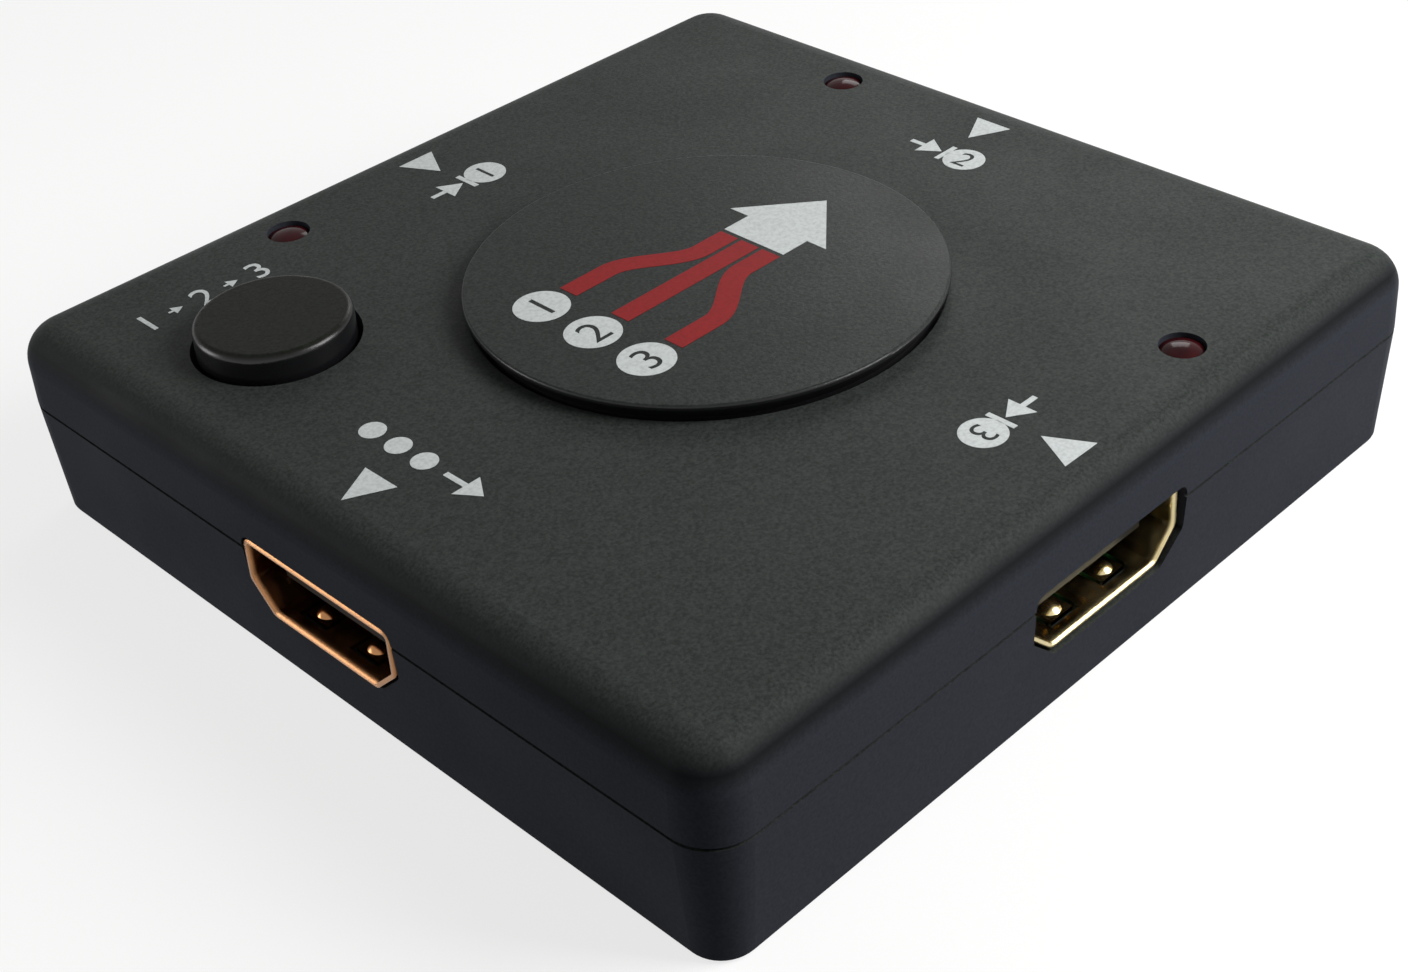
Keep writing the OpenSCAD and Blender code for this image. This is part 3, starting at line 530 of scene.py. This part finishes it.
def tinted_epoxy(name, tint):
    """Cast tinted epoxy: a glassy dome, nearly black in the depth and red where it is lit."""
    flow_mm = 1.2
    material, tree = new_material(name)
    place = add_node(tree, "ShaderNodeTexCoord")
    flow = add_node(
        tree, "ShaderNodeTexNoise", {"Scale": 1 / (flow_mm * MM), "Detail": 2.0},
        {"Vector": place.outputs["Object"]},
    )
    depth = add_node(
        tree, "ShaderNodeMapRange", {**NOISE_SPAN, "To Min": 0.7, "To Max": 1.3},
        {"Value": flow.outputs["Fac"]},
    )
    glow = add_node(
        tree, "ShaderNodeMix", {MIX_SHARE: 1.0, COLOUR_A: tint},
        {COLOUR_B: depth.outputs[0]}, **TONED,
    )
    shader = add_node(
        tree, "ShaderNodeBsdfPrincipled",
        {"Roughness": 0.12, "IOR": 1.55, "Specular IOR Level": 0.06},
        {"Base Color": glow.outputs[COLOUR_OUT]},
    )
    add_node(tree, "ShaderNodeOutputMaterial", links={"Surface": shader.outputs[0]})
    return material


def solder_resist(name, resist_colour):
    """Screened solder resist over copper tracks: a green gloss with paler tracks under it."""
    track_mm = 1.4
    material, tree = new_material(name)
    place = add_node(tree, "ShaderNodeTexCoord")
    track = add_node(
        tree, "ShaderNodeTexWave",
        {"Scale": 1 / (track_mm * MM * 2 * math.pi), "Distortion": 2.0, "Detail": 1.0},
        {"Vector": place.outputs["Object"]}, wave_type="BANDS",
    )
    tone = add_node(
        tree, "ShaderNodeMapRange",
        {"From Min": 0.45, "From Max": 0.55, "To Min": 0.85, "To Max": 1.35},
        {"Value": track.outputs["Fac"]},
    )
    resist = add_node(
        tree, "ShaderNodeMix", {MIX_SHARE: 1.0, COLOUR_A: resist_colour},
        {COLOUR_B: tone.outputs[0]}, **TONED,
    )
    shader = add_node(
        tree, "ShaderNodeBsdfPrincipled", {"Roughness": 0.3, "IOR": 1.5},
        {"Base Color": resist.outputs[COLOUR_OUT]},
    )
    add_node(tree, "ShaderNodeOutputMaterial", links={"Surface": shader.outputs[0]})
    return material


def finish_node(name, material):
    """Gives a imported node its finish."""
    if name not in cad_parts:
        raise RuntimeError("the packed model has no node named " + name)
    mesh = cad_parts[name].data
    mesh.materials.clear()
    mesh.materials.append(material)


def ink_piece(name, loops, turn, level, material, body):
    """A printed mark: closed outlines filled to a thin film of ink that lies on a face.
    Outlines inside others are holes. Points are in metres, in the mark's own frame."""
    ink = settings("print").ink
    curve = bpy.data.curves.new(name, "CURVE")
    curve.dimensions = "2D"
    curve.fill_mode = "BOTH"
    curve.extrude = ink
    for loop in loops:
        spline = curve.splines.new("POLY")
        spline.points.add(len(loop) - 1)
        for point, (x, y) in zip(spline.points, loop):
            point.co = (x, y, 0.0, 1.0)
        spline.use_cyclic_u = True
    holder = bpy.data.objects.new(name + "_outline", curve)
    bpy.context.scene.collection.objects.link(holder)
    bpy.context.view_layer.update()
    depsgraph = bpy.context.evaluated_depsgraph_get()
    mesh = bpy.data.meshes.new_from_object(holder.evaluated_get(depsgraph))
    bpy.data.objects.remove(holder)
    bpy.data.curves.remove(curve)
    mesh.name = name
    mesh.transform(Matrix.Translation((0, 0, level)) @ Matrix.Rotation(math.radians(turn), 4, "Z"))
    mesh.materials.clear()
    mesh.materials.append(material)
    piece = bpy.data.objects.new(name, mesh)
    bpy.context.scene.collection.objects.link(piece)
    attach(piece, body)
    return piece


def ring(x, y, diameter, steps=48):
    """A circle as a closed outline."""
    turns = [2 * math.pi * i / steps for i in range(steps)]
    return [(x + diameter / 2 * math.cos(t), y + diameter / 2 * math.sin(t)) for t in turns]


def bar(x0, y0, x1, y1, width):
    """A straight stroke with square ends as a closed outline."""
    start = Vector((x0, y0))
    end = Vector((x1, y1))
    along = (end - start).normalized()
    side = Vector((-along.y, along.x)) * width / 2
    return [tuple(corner) for corner in (start - side, end - side, end + side, start + side)]


def arrow(x, y, span, height, stroke):
    """An arrow along +X, centred on a point, as one closed outline."""
    head = height * HEAD_SHARE
    left = x - span / 2
    right = x + span / 2
    neck = right - head
    return [
        (left, y - stroke / 2), (neck, y - stroke / 2), (neck, y - height / 2), (right, y),
        (neck, y + height / 2), (neck, y + stroke / 2), (left, y + stroke / 2),
    ]


def digit(text, x, y, height):
    """A plain number in the built-in type, as closed outlines centred on a point."""
    curve_points = 7
    face = bpy.data.curves.new("digit", "FONT")
    face.body = text
    holder = bpy.data.objects.new("digit", face)
    bpy.context.scene.collection.objects.link(holder)
    for other in bpy.context.selected_objects:
        other.select_set(False)
    bpy.context.view_layer.objects.active = holder
    holder.select_set(True)
    bpy.ops.object.convert(target="CURVE")
    holder = bpy.context.view_layer.objects.active
    loops = []
    for spline in holder.data.splines:
        knots = spline.bezier_points
        loop = []
        for here, there in zip(knots, [*knots[1:], knots[0]]):
            run = interpolate_bezier(
                here.co, here.handle_right, there.handle_left, there.co, curve_points
            )
            loop += [(p.x, p.y) for p in run[:-1]]
        loops.append(loop)
    bpy.data.objects.remove(holder)
    xs = [p[0] for loop in loops for p in loop]
    ys = [p[1] for loop in loops for p in loop]
    scale = height / (max(ys) - min(ys))
    mid_x = (max(xs) + min(xs)) / 2
    mid_y = (max(ys) + min(ys)) / 2
    return [
        [(x + (p[0] - mid_x) * scale, y + (p[1] - mid_y) * scale) for p in loop] for loop in loops
    ]


class SWITCHBOX_OT_camera(Operator):
    """Set the camera where the photograph was taken from"""

    bl_idname = "switch_box.camera"
    bl_label = "Camera"

    def execute(self, context):
        view = settings("camera")
        back = Vector((
            math.sin(view.azimuth) * math.cos(view.elevation),
            -math.cos(view.azimuth) * math.cos(view.elevation),
            math.sin(view.elevation),
        ))
        data = bpy.data.cameras.new("camera")
        data.sensor_width = SENSOR_WIDTH
        data.lens = view.lens
        data.shift_x = (IMAGE_WIDTH / 2 - view.middle_x) / IMAGE_WIDTH
        data.shift_y = (view.middle_y - IMAGE_HEIGHT / 2) / IMAGE_WIDTH
        data.clip_start = 1 * MM
        data.clip_end = 10.0
        camera = bpy.data.objects.new("camera", data)
        level = (-back).to_track_quat("-Z", "Y").to_matrix().to_4x4()
        lean = Matrix.Rotation(view.roll, 4, "Z")
        camera.matrix_world = Matrix.Translation(view.place) @ level @ lean
        context.scene.collection.objects.link(camera)
        context.scene.camera = camera
        return {"FINISHED"}


class SWITCHBOX_OT_stage(Operator):
    """Lay a sheet of white paper under the box and light it softly"""

    bl_idname = "switch_box.stage"
    bl_label = "Stage"

    def execute(self, context):
        context.scene.view_settings.view_transform = "Standard"
        self.make_floor(context)
        self.make_world(context)
        for name, place, side, watts in LAMPS:
            self.make_lamp(context, name, place, side, watts)
        return {"FINISHED"}

    def make_floor(self, context):
        """White paper: the camera and mirrors see it near white, with the box's own shadow on it,
        and from below it is clear, so that the underside can be looked at."""
        half = 1.5  # metres from the middle to an edge
        low = -0.02 * MM  # just clear of the underside
        fibre_mm = 2.5
        relief_mm = 0.05
        glow_share = 0.75
        mesh = bpy.data.meshes.new("paper_floor")
        corners = [(-half, -half, low), (half, -half, low), (half, half, low), (-half, half, low)]
        mesh.from_pydata(corners, [], [(0, 1, 2, 3)])
        floor = bpy.data.objects.new("paper_floor", mesh)
        context.scene.collection.objects.link(floor)
        material, tree = new_material("white_paper_floor")
        place = add_node(tree, "ShaderNodeTexCoord")
        fibre = add_node(
            tree, "ShaderNodeTexNoise", {"Scale": 1 / (fibre_mm * MM), "Detail": 3.0},
            {"Vector": place.outputs["Object"]},
        )
        bump = add_node(
            tree, "ShaderNodeBump", {"Strength": 0.05, "Distance": relief_mm * MM},
            {"Height": fibre.outputs["Fac"]},
        )
        shown = self.shown_share(tree)
        tone = add_node(
            tree, "ShaderNodeMix",
            {COLOUR_A: shade_of("floor_bounce"), COLOUR_B: shade_of("floor")},
            {MIX_SHARE: shown.outputs[0]}, data_type="RGBA",
        )
        paper = add_node(
            tree, "ShaderNodeBsdfPrincipled", {"Roughness": 0.9},
            {"Base Color": tone.outputs[COLOUR_OUT], "Normal": bump.outputs[0]},
        )
        glow = add_node(tree, "ShaderNodeEmission", {"Color": WHITE, "Strength": 1.0})
        share = add_node(
            tree, "ShaderNodeMath", {1: glow_share}, {0: shown.outputs[0]}, operation="MULTIPLY"
        )
        face = add_node(
            tree, "ShaderNodeMixShader",
            links={0: share.outputs[0], 1: paper.outputs[0], 2: glow.outputs[0]},
        )
        side = add_node(tree, "ShaderNodeNewGeometry")
        clear = add_node(tree, "ShaderNodeBsdfTransparent")
        sheet = add_node(
            tree, "ShaderNodeMixShader",
            links={0: side.outputs["Backfacing"], 1: face.outputs[0], 2: clear.outputs[0]},
        )
        add_node(tree, "ShaderNodeOutputMaterial", links={"Surface": sheet.outputs[0]})
        mesh.materials.append(material)

    def make_world(self, context):
        """A white room that is seen as white and gives only a little light."""
        light_strength = 0.15
        world = bpy.data.worlds.new("white_room")
        world.use_nodes = True
        tree = world.node_tree
        tree.nodes.clear()
        shown = self.shown_share(tree)
        strength = add_node(
            tree, "ShaderNodeMapRange", {"To Min": light_strength}, {"Value": shown.outputs[0]}
        )
        light = add_node(
            tree, "ShaderNodeBackground", {"Color": WHITE}, {"Strength": strength.outputs[0]}
        )
        add_node(tree, "ShaderNodeOutputWorld", links={"Surface": light.outputs[0]})
        context.scene.world = world

    def shown_share(self, tree):
        """One where the camera, a mirror or a clear piece looks, and none where light bounces."""
        path = add_node(tree, "ShaderNodeLightPath")
        seen = add_node(
            tree, "ShaderNodeMath",
            links={0: path.outputs["Is Camera Ray"], 1: path.outputs["Is Glossy Ray"]},
            operation="MAXIMUM",
        )
        return add_node(
            tree, "ShaderNodeMath",
            links={0: seen.outputs[0], 1: path.outputs["Is Transmission Ray"]},
            operation="MAXIMUM",
        )

    def make_lamp(self, context, name, place, side, watts):
        """A square lamp that looks at the middle of the underside."""
        data = bpy.data.lights.new(name, "AREA")
        data.shape = "SQUARE"
        data.size = side
        data.energy = watts
        lamp = bpy.data.objects.new(name, data)
        lamp.location = place
        lamp.rotation_mode = "QUATERNION"
        lamp.rotation_quaternion = (-Vector(place)).to_track_quat("-Z", "Y")
        context.scene.collection.objects.link(lamp)


class SWITCHBOX_OT_case(Operator):
    """Finish the two case shells"""

    bl_idname = "switch_box.case"
    bl_label = "Case"

    def execute(self, context):
        # the sides take a bluish colour of painted light
        material = spark_eroded_abs(
            "moulded_ABS_case", shade_of("case_top"), shade_of("case_side"),
            roughness=0.5, edge_gloss=0.01,
        )
        for name in ("upper_shell", "lower_shell"):
            finish_node(name, material)
        return {"FINISHED"}


class SWITCHBOX_OT_disc(Operator):
    """Finish the raised disc"""

    bl_idname = "switch_box.disc"
    bl_label = "Disc"

    def execute(self, context):
        # the disc's sides are painted near black as painted shade
        material = spark_eroded_abs(
            "moulded_ABS_disc", shade_of("disc"), shade_of("trim_side"),
            roughness=0.34, edge_gloss=0.5,
        )
        finish_node("centre_disc", material)
        return {"FINISHED"}


class SWITCHBOX_OT_button(Operator):
    """Finish the select button"""

    bl_idname = "switch_box.button"
    bl_label = "Button"

    def execute(self, context):
        # the button's side is painted near black as painted shade
        material = spark_eroded_abs(
            "moulded_ABS_button", shade_of("button"), shade_of("trim_side"),
            roughness=0.26, edge_gloss=0.5,
        )
        finish_node("select_button", material)
        return {"FINISHED"}


class SWITCHBOX_OT_lamps(Operator):
    """Finish the three lamps"""

    bl_idname = "switch_box.lamps"
    bl_label = "Lamps"

    def execute(self, context):
        material = tinted_epoxy("cast_red_epoxy", shade_of("lamp"))
        for number in (1, 2, 3):
            finish_node(f"lamp_{number}", material)
        return {"FINISHED"}


class SWITCHBOX_OT_receptacles(Operator):
    """Finish the shells, insulators and contacts of the four receptacles"""

    bl_idname = "switch_box.receptacles"
    bl_label = "Receptacles"

    def execute(self, context):
        copper_gold = plated_metal(
            "gold_flashed_bronze_shell", shade_of("output_metal"),
            roughness=0.2, streak_mm=0.15, rim=OUTPUT_RIM,
        )
        pale_gold = plated_metal(
            "gold_flashed_steel_shell", shade_of("input_metal"),
            roughness=0.18, streak_mm=0.15, rim=INPUT_RIM,
        )
        nylon = dull_body(
            "moulded_black_nylon", shade_of("moulding"), roughness=0.5, grain_mm=0.4
        )
        gold = plated_metal(
            "gold_plated_contacts", shade_of("contact"), roughness=0.15, streak_mm=0.1
        )
        for name in RECEPTACLES:
            finish_node(name + "_shell", copper_gold if name == "output" else pale_gold)
            finish_node(name + "_insulator", nylon)
            finish_node(name + "_contacts", gold)
        return {"FINISHED"}


class SWITCHBOX_OT_inside(Operator):
    """Finish the screws, the push switch and the circuit board with its parts"""

    bl_idname = "switch_box.inside"
    bl_label = "Inside"

    def execute(self, context):
        compound = dull_body(
            "moulded_epoxy_chip", shade_of("moulding"), roughness=0.6, grain_mm=0.25
        )
        tin = plated_metal("tinned_copper_leads", shade_of("tin"), roughness=0.3, streak_mm=0.2)
        zinc = plated_metal("zinc_plated_screws", shade_of("zinc"), roughness=0.35, streak_mm=0.2)
        tan = dull_body(
            "fired_tan_ceramic", shade_of("capacitor"), roughness=0.45, grain_mm=0.3
        )
        glaze = dull_body(
            "glazed_black_ceramic", shade_of("resistor"), roughness=0.35, grain_mm=0.3
        )
        finish_node("case_screws", zinc)
        finish_node("circuit_board", solder_resist("screened_solder_resist", shade_of("board")))
        for name in ("switch_chip", "control_chip", "switch_base", "switch_plunger"):
            finish_node(name, compound)
        for name in TINNED_NODES:
            finish_node(name, tin)
        finish_node("capacitors", tan)
        finish_node("resistors", glaze)
        return {"FINISHED"}


class SWITCHBOX_OT_port_marks(Operator):
    """Print the pointers, arrows and numbers beside the receptacles"""

    bl_idname = "switch_box.port_marks"
    bl_label = "Port marks"

    def execute(self, context):
        marks = settings("print")
        white = pad_printed_ink("pad_printed_white_marks", shade_of("white_ink"))
        half = marks.pointer_width / 2
        rise = marks.pointer_height / 2
        for number, turn in enumerate(INPUT_TURNS, 1):
            shift = marks.along_shift[number - 1]
            out = marks.input_pointer + marks.out_shift[number - 1]
            row = marks.label_row + marks.out_shift[number - 1]
            pointer = [(shift - half, out + rise), (shift + half, out + rise), (shift, out - rise)]
            ink_piece(f"input_{number}_pointer", [pointer], turn, TOP, white, "housing")
            x = shift + marks.roundel_along
            height = marks.roundel * DIGIT_SHARE
            roundel = [ring(x, row, marks.roundel), *digit(str(number), x, row, height)]
            ink_piece(f"input_{number}_number", roundel, turn, TOP, white, "housing")
            x = shift + marks.arrow_along
            stem = arrow(x, row, marks.arrow_length, marks.mark_height, marks.stroke)
            end = x + marks.arrow_length / 2 + marks.stroke
            low = row - marks.mark_height / 2
            high = row + marks.mark_height / 2
            stop = bar(end, low, end, high, marks.stroke)
            ink_piece(f"input_{number}_arrow", [stem, stop], turn, TOP, white, "housing")
        out = -marks.output_pointer
        along = marks.output_pointer_along
        pointer = [(along - half, out + rise), (along + half, out + rise), (along, out - rise)]
        ink_piece("output_pointer", [pointer], OUTPUT_TURN, TOP, white, "housing")
        y = -marks.output_row
        left = marks.output_along - marks.output_length / 2
        size = marks.mark_height
        dot_size, dot_step, tail_place = 0.8, 1.15, 3.7  # in heights of the mark
        dots = [
            ring(left + size * (0.5 + dot_step * i), y, size * dot_size, steps=32)
            for i in range(3)
        ]
        tail = left + size * tail_place
        right = left + marks.output_length
        stem = arrow((tail + right) / 2, y, right - tail, size, marks.stroke)
        ink_piece("output_arrow", [*dots, stem], OUTPUT_TURN, TOP, white, "housing")
        return {"FINISHED"}


class SWITCHBOX_OT_button_marks(Operator):
    """Print the row of numbers that the button steps through"""

    bl_idname = "switch_box.button_marks"
    bl_label = "Button marks"

    def execute(self, context):
        marks = settings("print")
        white = pad_printed_ink("pad_printed_white_numbers", shade_of("white_ink"))
        places = 5  # three numbers with an arrow between each two
        arrow_length = 0.5  # of the step from place to place
        arrow_height = 0.45  # of a number's height
        arrow_stroke = 0.5  # of the other marks' stroke
        middle = (BUTTON_LOW.x + BUTTON_HIGH.x) / 2
        step = marks.select_length / places
        loops = []
        for i in range(places):
            x = middle + (i - places // 2) * step
            if i % 2 == 0:
                loops += digit(str(i // 2 + 1), x, marks.select_row, marks.digit_height)
            else:
                height = marks.digit_height * arrow_height
                stroke = marks.stroke * arrow_stroke
                loops.append(arrow(x, marks.select_row, step * arrow_length, height, stroke))
        ink_piece("select_numbers", loops, 0.0, TOP, white, "housing")
        return {"FINISHED"}


class SWITCHBOX_OT_disc_print(Operator):
    """Print the diagram of three lines that run into one on the disc"""

    bl_idname = "switch_box.disc_print"
    bl_label = "Disc print"

    def execute(self, context):
        plan = settings("disc")
        white = pad_printed_ink("pad_printed_white_diagram", shade_of("white_ink"))
        red = pad_printed_ink("pad_printed_red_diagram", shade_of("red_ink"))
        for number, level in enumerate((1, 0, -1), 1):
            y = level * plan.spread
            outline = self.line_outline(plan, y, level * (plan.line + plan.gap))
            ink_piece(f"disc_line_{number}", [outline], 0.0, DISC_TOP, red, "housing")
            x = plan.start - plan.roundel / 2 - plan.line / 4
            height = plan.roundel * DIGIT_SHARE
            roundel = [ring(x, y, plan.roundel), *digit(str(number), x, y, height)]
            ink_piece(f"disc_number_{number}", roundel, 0.0, DISC_TOP, white, "housing")
        start = plan.line_end + plan.gap
        neck = plan.arrow_end - plan.arrow_head
        half = 1.5 * plan.line + plan.gap  # of the three lines side by side
        head = [
            (start, -half), (neck, -half), (neck, -plan.arrow_width / 2), (plan.arrow_end, 0),
            (neck, plan.arrow_width / 2), (neck, half), (start, half),
        ]
        ink_piece("disc_arrow", [head], 0.0, DISC_TOP, white, "housing")
        return {"FINISHED"}

    def line_outline(self, plan, from_y, to_y):
        """One red line: straight, then a smooth S, then straight beside the others."""
        steps = 24
        centre = [Vector((plan.start, from_y))]
        for i in range(steps + 1):
            t = i / steps
            ease = t * t * (3 - 2 * t)
            x = plan.bend_start + (plan.bend_end - plan.bend_start) * t
            centre.append(Vector((x, from_y + (to_y - from_y) * ease)))
        centre.append(Vector((plan.line_end, to_y)))
        left = []
        right = []
        for i, point in enumerate(centre):
            before = centre[max(i - 1, 0)]
            after = centre[min(i + 1, len(centre) - 1)]
            along = (after - before).normalized()
            side = Vector((-along.y, along.x)) * plan.line / 2
            left.append(tuple(point + side))
            right.append(tuple(point - side))
        return right + left[::-1]


class SWITCHBOX_PT_panel(Panel):
    """The switch box's steps, in order"""

    bl_idname = "SWITCHBOX_PT_panel"
    bl_label = "Switch Box"
    bl_space_type = "VIEW_3D"
    bl_region_type = "UI"
    bl_category = "Switch Box"

    def draw(self, context):
        for operator in OPERATORS:
            self.layout.operator(operator.bl_idname)


GROUPS = {
    "camera": SwitchBoxCamera,
    "print": SwitchBoxPrint,
    "disc": SwitchBoxDisc,
    "colours": SwitchBoxColours,
}
OPERATORS = (
    SWITCHBOX_OT_camera,
    SWITCHBOX_OT_stage,
    SWITCHBOX_OT_case,
    SWITCHBOX_OT_disc,
    SWITCHBOX_OT_button,
    SWITCHBOX_OT_lamps,
    SWITCHBOX_OT_receptacles,
    SWITCHBOX_OT_inside,
    SWITCHBOX_OT_port_marks,
    SWITCHBOX_OT_button_marks,
    SWITCHBOX_OT_disc_print,
)


def register():
    """Registers the groups of settings, the operators and the panel."""
    for cls in (*GROUPS.values(), *OPERATORS, SWITCHBOX_PT_panel):
        bpy.utils.register_class(cls)
    for name, group in GROUPS.items():
        setattr(bpy.types.Scene, "switch_box_" + name, PointerProperty(type=group))


def unregister():
    """Takes them off again, in the opposite order."""
    for name in GROUPS:
        delattr(bpy.types.Scene, "switch_box_" + name)
    for cls in (SWITCHBOX_PT_panel, *reversed(OPERATORS), *reversed(GROUPS.values())):
        bpy.utils.unregister_class(cls)


def main():
    """Registers the add-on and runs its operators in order."""
    register()
    for operator in OPERATORS:
        step = operator.bl_idname.split(".")[1]
        getattr(bpy.ops.switch_box, step)()


if __name__ == "__main__":
    main()
